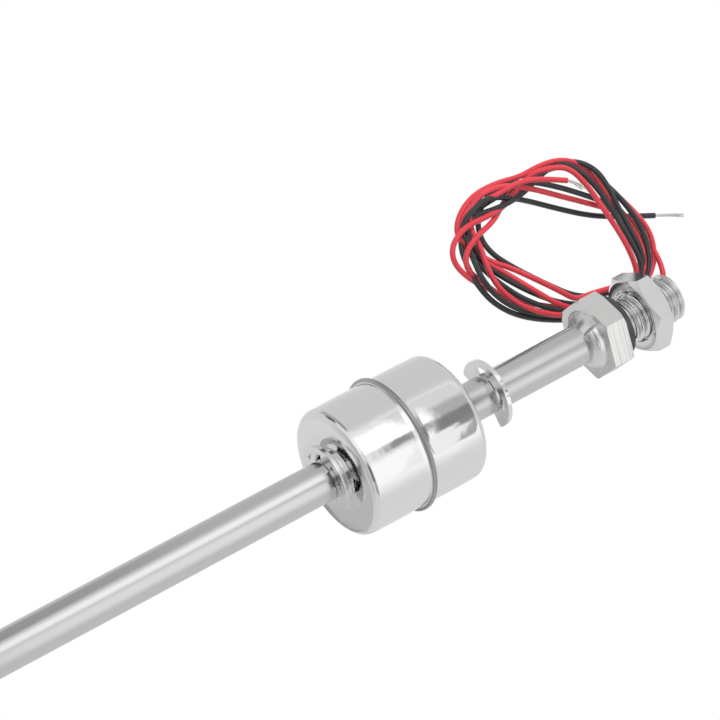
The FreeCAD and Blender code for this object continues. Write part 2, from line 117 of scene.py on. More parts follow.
# %% Red wire
RED_EXIT = [
    (-1.15, 0.0, 11.5),
    (-1.2, 0.2, 16.0),
    (-2.3, 2.0, 18.2),
    (-3.6, 4.9, 18.5),
    (-4.8, 8.2, 17.0),
]
RED_TURNS = [
    [
        (625, 284, 10.4), (607, 289, 11.6), (590, 294, 11.2), (576, 300, 10.8),
        (560, 291, 10.7), (533, 278, 10.8), (511, 268, 11.6), (489, 261, 12.8),
        (472, 250, 13.2), (459, 239, 12.2), (456, 227, 11.6), (462, 209, 11.4),
        (475, 194, 11.4), (496, 183, 11.6), (520, 177, 11.8), (538, 166, 12.0),
        (560, 159, 12.2), (581, 164, 12.6), (597, 181, 13.0), (609, 199, 13.2),
        (622, 212, 13.4), (636, 230, 13.0), (644, 250, 12.6), (645, 270, 12.6),
    ],
    [
        (634, 290, 13.2), (606, 306, 13.2), (572, 316, 12.4), (545, 314, 11.2),
        (521, 306, 10.6), (500, 290, 10.2), (488, 270, 10.2), (481, 248, 11.0),
        (470, 228, 11.8), (469, 209, 11.2), (482, 193, 10.6), (504, 185, 10.6),
        (529, 188, 10.8), (556, 195, 11.4), (583, 202, 12.8), (610, 209, 14.4),
        (634, 222, 15.0), (648, 240, 14.2), (656, 254, 12.6), (662, 267, 11.4),
        (664, 281, 11.0),
    ],
    [
        (655, 291, 11.8), (634, 297, 13.2), (604, 308, 14.0), (566, 316, 13.8),
        (530, 310, 13.6), (503, 297, 13.0), (481, 282, 12.0), (466, 269, 10.6),
        (466, 252, 10.0), (477, 236, 10.2), (493, 222, 11.8), (501, 207, 13.4),
        (511, 191, 13.8), (532, 174, 13.8), (558, 164, 13.8), (586, 172, 13.6),
        (610, 189, 13.4), (633, 210, 13.4), (650, 231, 13.2), (655, 254, 13.0),
        (651, 275, 13.0),
    ],
    [
        (634, 297, 12.4), (602, 308, 12.0), (568, 309, 12.0), (530, 304, 12.8),
        (497, 293, 12.8), (470, 280, 11.6), (453, 263, 10.4), (452, 244, 10.0),
        (466, 226, 10.2), (487, 217, 10.8), (505, 206, 12.6), (516, 191, 12.8),
        (529, 175, 11.6), (548, 168, 10.4), (569, 167, 9.8), (588, 186, 9.6),
        (605, 211, 9.6), (622, 236, 9.8), (633, 258, 10.6), (638, 276, 11.8),
    ],
    [
        (626, 295, 12.8), (600, 307, 12.4), (566, 309, 11.6), (535, 291, 11.2),
        (509, 275, 12.0), (484, 262, 12.8), (465, 248, 12.8), (458, 230, 12.0),
        (464, 210, 11.4),
    ],
]
RED_END = [
    (-33.6, 11.0, -2.0),
    (-34.0, 9.8, 3.6),
    (-32.2, 9.1, 8.5),
    (-29.8, 9.0, 12.9),
]

red_route = [Vector(p) for p in RED_EXIT]
for turn in RED_TURNS:
    red_route += [seen_at(*place) for place in turn]
red_route += [Vector(p) for p in RED_END]
print("red wire points", len(red_route))

# %% [markdown]
# The black wire takes the same way. Its end crosses the open middle of the coil, passes
# behind all the turns on the right and sticks out beside them.

# %% Black wire
BLACK_EXIT = [
    (1.15, 0.0, 11.5),
    (1.1, 0.2, 16.0),
    (0.4, 2.2, 18.5),
    (-1.2, 5.4, 19.0),
    (-3.2, 9.2, 17.7),
]
BLACK_TURNS = [
    [
        (632, 289, 12.2), (606, 293, 13.4), (578, 298, 13.0), (544, 283, 12.6),
        (514, 268, 12.4), (493, 255, 12.4), (481, 240, 13.2), (477, 222, 13.2),
        (482, 203, 12.4), (498, 186, 11.8), (527, 181, 11.8), (555, 186, 12.2),
        (582, 194, 12.8), (607, 203, 13.4), (625, 220, 14.2), (637, 243, 14.4),
        (642, 266, 14.2),
    ],
    [
        (630, 294, 14.2), (600, 305, 13.4), (562, 304, 12.4), (532, 293, 11.8),
        (507, 280, 11.8), (487, 267, 12.2), (475, 250, 12.4), (466, 233, 12.2),
        (472, 216, 11.6), (490, 211, 11.4), (509, 203, 12.0), (526, 191, 13.2),
        (543, 172, 13.4), (562, 162, 11.8), (581, 171, 10.8), (599, 190, 10.6),
        (613, 211, 10.6), (626, 233, 10.8), (638, 254, 11.4), (643, 271, 12.2),
    ],
    [
        (632, 295, 13.4), (604, 310, 13.8), (564, 317, 12.6), (526, 313, 11.2),
        (500, 300, 10.2), (483, 281, 9.8), (474, 261, 10.2), (467, 243, 12.2),
        (465, 228, 12.8), (477, 216, 12.6), (497, 211, 14.2), (518, 190, 14.6),
        (548, 166, 14.4), (574, 160, 12.6), (596, 169, 11.2), (609, 188, 10.8),
        (619, 209, 10.8), (630, 230, 11.6), (641, 250, 12.2), (645, 272, 12.8),
    ],
    [
        (634, 298, 14.4), (604, 314, 14.6), (566, 321, 13.4), (523, 318, 12.0),
        (495, 305, 11.0), (477, 285, 11.0), (466, 264, 11.8), (460, 245, 12.8),
        (463, 224, 13.2), (480, 207, 13.4), (502, 194, 15.2), (528, 178, 15.4),
        (556, 166, 15.0), (582, 168, 14.2), (605, 183, 12.6), (625, 203, 12.0),
        (641, 226, 12.0), (649, 251, 12.0), (649, 275, 12.4),
    ],
    [
        (632, 299, 13.6), (600, 311, 13.2), (560, 312, 12.0), (524, 300, 11.6),
        (497, 282, 11.8), (478, 264, 12.8), (466, 246, 12.8), (461, 228, 11.4),
        (471, 211, 10.4), (489, 197, 10.6),
    ],
]
BLACK_END = [
    (-32.2, 12.2, 0.75),
    (-30.0, 14.6, 5.75),
    (-26.0, 16.8, 12.15),
    (-21.6, 17.7, 18.75),
    (-18.6, 17.6, 24.85),
    (-15.5, 16.9, 32.05),
]

black_route = [Vector(p) for p in BLACK_EXIT]
for turn in BLACK_TURNS:
    black_route += [seen_at(*place) for place in turn]
black_route += [Vector(p) for p in BLACK_END]
print("black wire points", len(black_route))


# %% [markdown]
# A wire is a curve with a round section, so it stays one smooth piece however it lies. The
# curve is drawn towards its points without passing through them, as a springy wire is.
# Its length is measured along a copy without thickness.

# %% Wire curves
def wire_curve(name, route):
    """One smooth round wire along the points of a route."""
    curve = bpy.data.curves.new(name, "CURVE")
    curve.dimensions = "3D"
    curve.bevel_depth = WIRE_D / 2 * MM
    curve.bevel_resolution = 5
    curve.use_fill_caps = True
    curve.resolution_u = 6
    spline = curve.splines.new("NURBS")
    spline.points.add(len(route) - 1)
    for point, place in zip(spline.points, route):
        point.co = (*(place * MM), 1.0)
    spline.order_u = 3
    spline.use_endpoint_u = True
    wire = bpy.data.objects.new(name, curve)
    bpy.context.scene.collection.objects.link(wire)
    return wire


def centre_line(wire):
    """Points that the wire's smooth centre line passes through, in metres."""
    bare = wire.copy()
    bare.data = wire.data.copy()
    bare.data.bevel_depth = 0
    bare.data.resolution_u = 12
    bpy.context.scene.collection.objects.link(bare)
    bpy.context.view_layer.update()
    mesh = bpy.data.meshes.new_from_object(bare.evaluated_get(bpy.context.evaluated_depsgraph_get()))
    points = [v.co.copy() for v in mesh.vertices]
    bpy.data.objects.remove(bare)
    return points


def line_length(points):
    return sum((b - a).length for a, b in zip(points, points[1:]))


red_wire = wire_curve("red_wire", red_route)
black_wire = wire_curve("black_wire", black_route)
red_line = centre_line(red_wire)
black_line = centre_line(black_wire)
for name, line in (("red wire", red_line), ("black wire", black_line)):
    print(name, round(line_length(line) / MM, 1), "mm")

# %% [markdown]
# ## Turned pieces
#
# The stem, the float's cups, the seal and the weld are all round about the stem. On a
# lathe such a piece is an outline turned about its axis. Here a circle is added and then
# extruded and resized ring by ring along that outline, which keeps clean rows of faces
# for the bevels and the bright reflections of polished steel.

# %% Ring by ring
POLE = 0.01


def start_fresh():
    """Leaves edit mode and deselects everything, because operators act on what is selected."""
    if bpy.context.object and bpy.context.object.mode != "OBJECT":
        bpy.ops.object.mode_set(mode="OBJECT")
    bpy.ops.object.select_all(action="DESELECT")


def pick(piece):
    """Selects one piece alone and makes it the active one."""
    start_fresh()
    bpy.context.view_layer.objects.active = piece
    piece.select_set(True)


def added(name, size=(1, 1, 1)):
    """Names the primitive just added, and applies its place, turn and size to its mesh."""
    piece = bpy.context.object
    piece.name = piece.data.name = name
    piece.scale = size
    bpy.ops.object.transform_apply(location=True, rotation=True, scale=True)
    return piece


def smoothed(piece, degrees=30):
    """Smooth faces, with a crisp edge wherever two of them meet at a larger angle."""
    pick(piece)
    bpy.ops.object.shade_smooth_by_angle(angle=math.radians(degrees))
    return piece


def closed_up(piece):
    """Merges doubles and poles in edit mode, and turns all faces outwards."""
    bpy.ops.mesh.select_all(action="SELECT")
    bpy.ops.mesh.remove_doubles(threshold=0.5e-6)
    bpy.ops.mesh.select_all(action="DESELECT")
    shape = bmesh.from_edit_mesh(piece.data)
    for v in shape.verts:
        v.select = math.hypot(v.co.x, v.co.y) < 2 * POLE * MM
    shape.select_flush_mode()
    bmesh.update_edit_mesh(piece.data)
    bpy.ops.mesh.merge(type="COLLAPSE")
    bpy.ops.mesh.select_all(action="SELECT")
    bpy.ops.mesh.normals_make_consistent(inside=False)
    bpy.ops.object.mode_set(mode="OBJECT")
    open_edges = sum(1 for count in edge_uses(piece.data) if count != 2)
    print(piece.name, len(piece.data.vertices), "points,", open_edges, "open edges")


def edge_uses(mesh):
    """How many faces each edge of a mesh has."""
    uses = [0] * len(mesh.edges)
    for loop in mesh.loops:
        uses[loop.edge_index] += 1
    return uses


def turned(name, outline, sides=160):
    """Piece turned about the stem from (radius, height) points; radius 0 ends on the axis."""
    start_fresh()
    rings = [(max(radius, POLE), height) for radius, height in outline]
    if outline[0][0] > 0 and outline[0] != outline[-1]:
        rings.append(rings[0])
    radius, height = rings[0]
    bpy.ops.mesh.primitive_circle_add(vertices=sides, radius=radius * MM, location=(0, 0, height * MM))
    piece = added(name)
    bpy.ops.object.mode_set(mode="EDIT")
    bpy.ops.mesh.select_all(action="SELECT")
    for next_radius, next_height in rings[1:]:
        rise = (next_height - height) * MM
        bpy.ops.mesh.extrude_region_move(TRANSFORM_OT_translate={"value": (0, 0, rise)})
        share = next_radius / radius
        bpy.ops.transform.resize(value=(share, share, 1), center_override=(0, 0, next_height * MM))
        radius, height = next_radius, next_height
    closed_up(piece)
    return smoothed(piece)


def quarter(centre_r, centre_z, size, start, end, steps=6):
    """Points of a rounded edge, as angles in degrees from outwards (0) to up (90)."""
    angles = [math.radians(start + (end - start) * k / steps) for k in range(steps + 1)]
    return [(centre_r + size * math.cos(a), centre_z + size * math.sin(a)) for a in angles]


# %% [markdown]
# The stem is a drawn tube. Each stop clip sits in a groove that leaves a 7 mm core, and
# the lower end is closed by a small welded plug. The grooves get the tiny broken edges
# that a cutting tool leaves, which catch the light beside the clips.

# %% Stem
STEM_TOP = -2.0
TUBE_END = -148.8
TUBE_INNER_R = 3.0
PLUG_TOP = -146.3
GROOVE_R = 3.5
GROOVES = [(-69.25, -68.25), (-30.35, -29.35)]
BROKEN = 0.07

stem_outline = [(TUBE_INNER_R, TUBE_END), (STEM_R - BROKEN, TUBE_END), (STEM_R, TUBE_END + BROKEN)]
for low, high in GROOVES:
    stem_outline += [
        (STEM_R, low - BROKEN), (STEM_R - BROKEN, low), (GROOVE_R, low),
        (GROOVE_R, high), (STEM_R - BROKEN, high), (STEM_R, high + BROKEN),
    ]
stem_outline += [(STEM_R, STEM_TOP), (TUBE_INNER_R, STEM_TOP)]
stem = turned("stem", stem_outline)

stem_plug = turned(
    "stem_plug",
    [(0, STEM_BOTTOM), (3.2, STEM_BOTTOM)]
    + quarter(3.2, STEM_BOTTOM + 0.75, 0.75, -80, 0)
    + [(STEM_R - 0.05, TUBE_END - 0.05), (STEM_R - 0.12, TUBE_END)]
    + [(TUBE_INNER_R, TUBE_END), (TUBE_INNER_R, PLUG_TOP), (0, PLUG_TOP)],
)

# %% [markdown]
# ## Float
#
# Two cups are drawn from thin sheet and welded rim to rim, so the float shows a narrow
# ring around its middle. A drawn wall is never quite straight: it bulges by a tenth of a
# millimetre, and that is what makes a reflection fade out along each half.

# %% Float cups
FLOAT_MIDDLE = -53.3
FLOAT_HALF = 13.5
FLOAT_R = 13.0
FLOAT_WALL = 0.25
FLOAT_CROWN = 0.1
RIM = 1.6
BORE_R = 4.75
SEAM_R = 13.9
SEAM_HALF = 0.4


def cup(name, up):
    """One half of the float; up is 1 for the upper cup and -1 for the lower one."""
    points = [(5.0, FLOAT_HALF - 0.05), (7.5, FLOAT_HALF - 0.01), (9.5, FLOAT_HALF)]
    points += quarter(FLOAT_R - RIM, FLOAT_HALF - RIM, RIM, 88, 2, 10)
    wall_top = FLOAT_HALF - RIM
    wall_low = SEAM_HALF + 0.25
    for k in range(1, 12):
        share = k / 12
        height = wall_top + (wall_low - wall_top) * share
        points.append((FLOAT_R + FLOAT_CROWN * math.sin(math.pi * share), height))
    points += [(FLOAT_R, wall_low), (FLOAT_R + 0.08, SEAM_HALF + 0.06), (FLOAT_R + 0.25, SEAM_HALF)]
    points += quarter(SEAM_R - 0.28, SEAM_HALF - 0.28, 0.28, 80, 0, 4)
    points += [(SEAM_R - 0.02, 0.05), (SEAM_R - 0.1, 0.0)]
    inner_r = FLOAT_R - FLOAT_WALL
    points += [(inner_r, 0.0), (inner_r, FLOAT_HALF - RIM)]
    points += quarter(inner_r - RIM, FLOAT_HALF - FLOAT_WALL - RIM, RIM, 10, 90, 6)
    points += [(5.0, FLOAT_HALF - FLOAT_WALL - 0.05)]
    return turned(name, [(r, FLOAT_MIDDLE + up * z) for r, z in points], sides=256)


float_cup_upper = cup("float_cup_upper", 1)
float_cup_lower = cup("float_cup_lower", -1)

# %% [markdown]
# A tube runs through the float for the stem. At both ends it stands out as a bright lip
# that is welded to the cups, and the lower lip shows beside the clip.

# %% Float bore
LIP_R = 5.5
LIP_HEIGHT = 0.7
lip_end = FLOAT_HALF + LIP_HEIGHT
upper_lip = (
    [(5.0, FLOAT_HALF - 0.02), (LIP_R, FLOAT_HALF - 0.02)]
    + quarter(LIP_R - 0.3, lip_end - 0.3, 0.3, 0, 90, 5)
    + quarter(BORE_R + 0.15, lip_end - 0.15, 0.15, 90, 180, 4)
)
lower_lip = [(r, -z) for r, z in reversed(upper_lip)]
float_bore = turned(
    "float_bore", [(r, FLOAT_MIDDLE + z) for r, z in upper_lip + lower_lip], sides=128
)

# %% [markdown]
# ## Head
#
# The hexagon and the nipple are turned from one bar. The corners of the hexagon are
# bevelled on the lathe, so it is modelled as a six-sided prism cut down by a round
# envelope, the way the lathe cuts it. The nut is made the same way.

# %% Joining and cutting
def carve(piece, tool, operation="DIFFERENCE"):
    """Cuts one piece with another, and uses the tool up."""
    cutting = piece.modifiers.new("cut", "BOOLEAN")
    cutting.operation = operation
    cutting.solver = "EXACT"
    cutting.object = tool
    pick(piece)
    bpy.ops.object.modifier_apply(modifier=cutting.name)
    bpy.data.objects.remove(tool)


def eased(piece, width, segments=2, degrees=25):
    """Small rounded edge on every corner of a machined piece."""
    easing = piece.modifiers.new("edges", "BEVEL")
    easing.width = width * MM
    easing.segments = segments
    easing.limit_method = "ANGLE"
    easing.angle_limit = math.radians(degrees)
    easing.use_clamp_overlap = True
    pick(piece)
    bpy.ops.object.modifier_apply(modifier=easing.name)
    smoothed(piece, 35)
    flat = piece.modifiers.new("flat faces", "WEIGHTED_NORMAL")
    flat.mode = "FACE_AREA"
    flat.weight = 90
    flat.keep_sharp = True
    bpy.ops.object.modifier_apply(modifier=flat.name)
    return piece


def hexagon_bar(name, across_flats, low, high, angle):
    """Length of hexagon bar with one corner at the given angle."""
    start_fresh()
    bpy.ops.mesh.primitive_cylinder_add(
        vertices=6,
        radius=across_flats / math.sqrt(3) * MM,
        depth=(high - low) * MM,
        location=(0, 0, (low + high) / 2 * MM),
        rotation=(0, 0, math.radians(angle - 90)),
    )
    bar = added(name)
    corner = bar.data.vertices[0].co
    print(name, "has a corner at", round(math.degrees(math.atan2(corner.y, corner.x)), 2), "degrees")
    return bar


BEVEL_SLOPE = 30.0
ENVELOPE_R = 9.16


def bevelled_envelope(name, low, high, low_r, high_r):
    """Round envelope that bevels the corners of a bar towards both ends."""
    fall = math.tan(math.radians(BEVEL_SLOPE))
    return turned(name, [
        (0, low), (low_r, low), (ENVELOPE_R, low + (ENVELOPE_R - low_r) * fall),
        (ENVELOPE_R, high - (ENVELOPE_R - high_r) * fall), (high_r, high), (0, high),
    ], sides=192)


# %% [markdown]
# The hexagon is bevelled on both faces. In the picture its bevel lies a little off
# centre, so the round envelope is moved aside before it cuts. Then the seat of the stem
# and the passage for the wires are bored.

# %% Hexagon
HEX_FLATS = 15.0
HEX_ANGLE = 25.0
HEX_BEVEL_LOW_R = 8.15
HEX_BEVEL_HIGH_R = 8.1
HEX_BEVEL_SHIFT = 0.3
NIPPLE_BORE_R = 3.1

hexagon = hexagon_bar("hexagon", HEX_FLATS, HEX_BOTTOM, 0.0, HEX_ANGLE)
hexagon_envelope = bevelled_envelope("hexagon_envelope", HEX_BOTTOM, 0.0, HEX_BEVEL_LOW_R, HEX_BEVEL_HIGH_R)
hexagon_envelope.location.x = HEX_BEVEL_SHIFT * MM
bpy.context.view_layer.update()
carve(hexagon, hexagon_envelope, "INTERSECT")
carve(hexagon, turned("head_bore", [
    (0, -6), (STEM_R, -6), (STEM_R, STEM_TOP), (NIPPLE_BORE_R, STEM_TOP), (NIPPLE_BORE_R, 1), (0, 1),
]))
eased(hexagon, 0.1)

# %% [markdown]
# The thread is M10 with a pitch of 1.5 mm. One tooth is drawn as a short line from root
# to root, and a Screw modifier sweeps it up the nipple. Its two open ends are closed with
# a fan of faces, and then the round envelope cuts it to length, bore and end bevel.

# %% Thread
PITCH = 1.5
ROOT_R = 4.08
THREAD_R = 5.0
NIPPLE_TOP = 16.5
NIPPLE_BEVEL = 0.7
BORE_BEVEL = 0.35
TOOTH = [(ROOT_R, 0.0), (ROOT_R + 0.05, 0.12), (4.55, 0.38), (4.84, 0.54), (4.96, 0.65), (THREAD_R, 0.75),
         (4.96, 0.85), (4.84, 0.96), (4.55, 1.12), (ROOT_R + 0.05, 1.38), (ROOT_R, PITCH)]
THREAD_START = -2.6
THREAD_TURNS = 14


def drawn_line(name, points):
    """Line of edges in the plane Y = 0, drawn point after point."""
    start_fresh()
    bpy.ops.mesh.primitive_plane_add(size=MM, location=(points[0][0] * MM, 0, points[0][1] * MM))
    line = added(name)
    bpy.ops.object.mode_set(mode="EDIT")
    bpy.ops.mesh.select_all(action="SELECT")
    bpy.ops.mesh.merge(type="CENTER")
    for (r0, z0), (r1, z1) in zip(points, points[1:]):
        bpy.ops.mesh.extrude_region_move(TRANSFORM_OT_translate={"value": ((r1 - r0) * MM, 0, (z1 - z0) * MM)})
    bpy.ops.object.mode_set(mode="OBJECT")
    return line


def fan_closed(piece, height_test):
    """Closes an open end with a fan of faces to one point."""
    bpy.ops.mesh.select_all(action="DESELECT")
    bpy.ops.mesh.select_non_manifold(
        extend=False, use_wire=False, use_multi_face=False, use_non_contiguous=False, use_verts=False
    )
    shape = bmesh.from_edit_mesh(piece.data)
    for v in shape.verts:
        if not height_test(v.co.z / MM):
            v.select = False
    shape.select_flush_mode()
    bmesh.update_edit_mesh(piece.data)
    bpy.ops.mesh.extrude_region_move(TRANSFORM_OT_translate={"value": (0, 0, 0)})
    bpy.ops.mesh.merge(type="CENTER")


nipple = drawn_line("nipple", [(r, z + THREAD_START) for r, z in TOOTH])
sweep = nipple.modifiers.new("sweep", "SCREW")
sweep.axis = "Z"
sweep.screw_offset = PITCH * MM
sweep.iterations = THREAD_TURNS
sweep.steps = sweep.render_steps = 72
sweep.use_merge_vertices = False
bpy.ops.object.modifier_apply(modifier=sweep.name)
bpy.ops.object.mode_set(mode="EDIT")
bpy.ops.mesh.select_all(action="SELECT")
bpy.ops.mesh.remove_doubles(threshold=0.5e-6)
fan_closed(nipple, lambda z: z < THREAD_START + 2 * PITCH)
fan_closed(nipple, lambda z: z > THREAD_START + (THREAD_TURNS - 2) * PITCH)
closed_up(nipple)
carve(nipple, turned("nipple_envelope", [
    (NIPPLE_BORE_R, 0.0), (THREAD_R + 0.01, 0.0),
    (THREAD_R + 0.01, NIPPLE_TOP - NIPPLE_BEVEL), (THREAD_R - NIPPLE_BEVEL, NIPPLE_TOP),
    (NIPPLE_BORE_R + BORE_BEVEL, NIPPLE_TOP), (NIPPLE_BORE_R, NIPPLE_TOP - BORE_BEVEL),
]), "INTERSECT")
smoothed(nipple, 32)
print("nipple", len(nipple.data.polygons), "faces")

# %% [markdown]
# The nut comes from bar of the same width as the hexagon, with a wider bevel on both
# faces. Its bore clears the thread and is countersunk at both ends.

# %% Nut
NUT_BOTTOM = 6.55
NUT_TOP = 10.95
NUT_ANGLE = 48.0
NUT_BEVEL_R = 7.2
NUT_BORE_R = 5.06
SINK_R = 5.65
SINK = SINK_R - NUT_BORE_R

nut = hexagon_bar("nut", HEX_FLATS, NUT_BOTTOM, NUT_TOP, NUT_ANGLE)
carve(nut, bevelled_envelope("nut_envelope", NUT_BOTTOM, NUT_TOP, NUT_BEVEL_R, NUT_BEVEL_R), "INTERSECT")
carve(nut, turned("nut_bore", [
    (0, NUT_BOTTOM - 1), (SINK_R, NUT_BOTTOM - 1), (SINK_R, NUT_BOTTOM), (NUT_BORE_R, NUT_BOTTOM + SINK),
    (NUT_BORE_R, NUT_TOP - SINK), (SINK_R, NUT_TOP), (SINK_R, NUT_TOP + 1), (0, NUT_TOP + 1),
]))
eased(nut, 0.15, 3)

# %% [markdown]
# The seal is a plain rubber ring. Squeezed between two steel faces, its edge bulges.

# %% Seal
SEAL_R = 6.5
SEAL_HEIGHT = 2.1
seal = turned("seal", [
    (5.05, 0.02), (6.3, 0.0), (6.44, 0.12), (6.49, 0.5), (SEAL_R, SEAL_HEIGHT / 2), (6.49, 1.6),
    (6.44, 1.98), (6.3, SEAL_HEIGHT), (5.05, SEAL_HEIGHT - 0.02),
])

# %% [markdown]
# The weld runs once round the stem. Most of it is a low hollow fillet. Where it ends on
# its own start it wells up into a full round bead, with a crease between the two. The
# bead is turned first, and then its points are moved between the two outlines by a share
# that depends on how far round the weld they are.

# %% Weld
WELD_WIDTH = 2.3
WELD_HEIGHT = 2.6
WELD_CREASE_ANGLE = -108.0
WELD_STEPS = 16


def bead_point(around):
    """Full round bead: how far out and how far down, against an angle from 0 to 90 degrees."""
    return WELD_WIDTH * math.sin(around) ** 0.75, WELD_HEIGHT * math.cos(around) ** 0.75


def fillet_point(around):
    """Low hollow fillet, against the same angle."""
    return 0.97 * WELD_WIDTH * (1 - math.cos(around)), 0.85 * WELD_HEIGHT * (1 - math.sin(around))


weld_outline = [(STEM_R - 0.02, HEX_BOTTOM + 0.02)]
for k in range(WELD_STEPS + 1):
    out, down = bead_point(math.pi / 2 * k / WELD_STEPS)
    weld_outline.append((STEM_R + out, HEX_BOTTOM - down))
weld = turned("weld", weld_outline, sides=240)


def weld_share(degrees):
    """How full the weld is, from 0 for the fillet to 1 for the bead, round the stem."""
    past = (degrees - WELD_CREASE_ANGLE + 180) % 360 - 180
    step = 1 / (1 + math.exp(-past * 0.7))
    well = math.exp(-(max(past, 0) / 105) ** 4)
    slow = 0.05 * math.sin(math.radians(past) * 3 + 0.5) + 0.03 * math.sin(math.radians(past) * 8 + 2)
    return 0.32 + (0.66 * well + slow) * step


for v in weld.data.vertices:
    radius = math.hypot(v.co.x, v.co.y) / MM
    if v.co.z / MM < HEX_BOTTOM + 0.01 and radius > STEM_R - 0.01:
        around = math.asin(min(1.0, max(0.0, (radius - STEM_R) / WELD_WIDTH)) ** (1 / 0.75))
        share = weld_share(math.degrees(math.atan2(v.co.y, v.co.x)))
        (full_out, full_down), (low_out, low_down) = bead_point(around), fillet_point(around)
        new_radius = STEM_R + low_out + (full_out - low_out) * share
        v.co.x *= new_radius / radius
        v.co.y *= new_radius / radius
        v.co.z = (HEX_BOTTOM - low_down - (full_down - low_down) * share) * MM
weld.data.update()
before, after = (round(weld_share(WELD_CREASE_ANGLE + side), 2) for side in (-40, 40))
print("weld is", after, "full after the crease and", before, "before it")

# %% [markdown]
# ## Stop clips
#
# Each clip is stamped from spring steel: an open ring with three lugs that grip the groove.
# A small rectangle is spun round the stem for the ring, its tips are rounded, and two
# spun cutters open the gaps between the lugs.

# %% Spun ring
def spun_ring(name, inner_r, outer_r, low, high, start, end):
    """Part of a flat ring between two angles, in degrees, spun from a small rectangle."""
    start_fresh()
    middle_r = (inner_r + outer_r) / 2
    angle = math.radians(start)
    bpy.ops.mesh.primitive_plane_add(
        size=1,
        location=(middle_r * math.cos(angle) * MM, middle_r * math.sin(angle) * MM, (low + high) / 2 * MM),
        rotation=(math.pi / 2, 0, angle),
    )
    ring = added(name, ((outer_r - inner_r) * MM, (high - low) * MM, 1))
    bpy.ops.object.mode_set(mode="EDIT")
    bpy.ops.mesh.select_all(action="SELECT")
    steps = max(6, round((end - start) / 2.5))
    # The operator turns clockwise for a positive angle, so the angle is given as negative.
    bpy.ops.mesh.spin(steps=steps, angle=math.radians(start - end), center=(0, 0, 0), axis=(0, 0, 1))
    closed_up(ring)
    return ring


def rounded_uprights(piece, chosen, width, segments=5):
    """Rounds the upright edges whose (radius, angle in degrees) passes the test."""
    pick(piece)
    bpy.ops.object.mode_set(mode="EDIT")
    bpy.ops.mesh.select_all(action="DESELECT")
    shape = bmesh.from_edit_mesh(piece.data)
    count = 0
    for edge in shape.edges:
        a, b = (v.co for v in edge.verts)
        if abs(a.z - b.z) > 0.4 * MM and math.hypot(a.x - b.x, a.y - b.y) < 0.01 * MM:
            if chosen(math.hypot(a.x, a.y) / MM, math.degrees(math.atan2(a.y, a.x))):
                edge.select = True
                count += 1
    bmesh.update_edit_mesh(piece.data)
    bpy.ops.mesh.bevel(offset=width * MM, segments=segments, affect="EDGES")
    bpy.ops.object.mode_set(mode="OBJECT")
    print(piece.name, "rounded", count, "edges")


# %% [markdown]
# Both clips are the same stamping, and they sit turned differently round the stem. The
# free tips and the corners beside the lugs are rounded, as the punch leaves them.

# %% Clips
CLIP_R = 7.0
CLIP_THICKNESS = 0.9
CLIP_BAND = 1.25
CLIP_HALF_SPAN = 115.0
CLIP_BACK_LUG = 17.0
CLIP_ARM_LUG = 70.0


def stop_clip(name, low, angle):
    """Three-lugged spring clip, its back lug at the given angle."""
    high = low + CLIP_THICKNESS
    band_r = CLIP_R - CLIP_BAND
    clip = spun_ring(name, GROOVE_R + 0.02, CLIP_R, low, high, angle - CLIP_HALF_SPAN, angle + CLIP_HALF_SPAN)
    tips = [angle + side * CLIP_HALF_SPAN for side in (-1, 1)]

    def near(a, b):
        return abs((a - b + 180) % 360 - 180) < 2

    rounded_uprights(clip, lambda r, a: r > 6.9 and any(near(a, tip) for tip in tips), 1.2)
    for side in (-1, 1):
        near_lug, far_lug = sorted((angle + side * CLIP_BACK_LUG, angle + side * CLIP_ARM_LUG))
        carve(clip, spun_ring(name + "_gap", 1.8, band_r, low - 1, high + 1, near_lug, far_lug))
    lugs = [angle + side * lug for side in (-1, 1) for lug in (CLIP_BACK_LUG, CLIP_ARM_LUG)]
    rounded_uprights(clip, lambda r, a: abs(r - band_r) < 0.05 and any(near(a, lug) for lug in lugs), 0.35, 4)
    return eased(clip, 0.13, 3, 40)


UPPER_CLIP_BOTTOM, UPPER_CLIP_ANGLE = -30.3, -107.0
LOWER_CLIP_BOTTOM, LOWER_CLIP_ANGLE = -69.2, -127.0
clip_upper = stop_clip("clip_upper", UPPER_CLIP_BOTTOM, UPPER_CLIP_ANGLE)
clip_lower = stop_clip("clip_lower", LOWER_CLIP_BOTTOM, LOWER_CLIP_ANGLE)

# %% [markdown]
# ## Bare strands
#
# Where the insulation stops, the tinned copper strands show. Each end has seven of them,
# twisted loosely and a little frayed, so each one is its own thin curve.

# %% Strands
STRAND_D = 0.2


